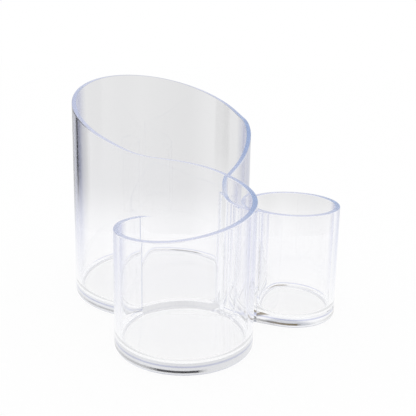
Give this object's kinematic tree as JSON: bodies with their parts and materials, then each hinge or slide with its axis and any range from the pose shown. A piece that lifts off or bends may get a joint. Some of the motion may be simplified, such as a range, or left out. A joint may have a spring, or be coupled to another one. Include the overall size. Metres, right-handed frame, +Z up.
{
  "type": "brush holder",
  "caption": "Clear moulded brush holder: a tall round cup, a lower front cup and a low side cup whose walls are one continuous ribbon with a spiral rim.",
  "frame": {"origin": "middle of the footprint's bounding box, on the plane the holder stands on", "axes": "+Z up out of the cups, -Y towards the front cup, +X towards the low side cup"},
  "size_m": [0.1452, 0.1532, 0.1197],
  "materials": {
    "clear_plastic": "clear, polished"
  },
  "bodies": {
    "root": {"tall_cup_wall": "clear_plastic", "front_cup_wall": "clear_plastic", "side_cup_wall": "clear_plastic", "tall_cup_floor": "clear_plastic", "front_cup_floor": "clear_plastic", "side_cup_floor": "clear_plastic"}
  },
  "joints": []
}
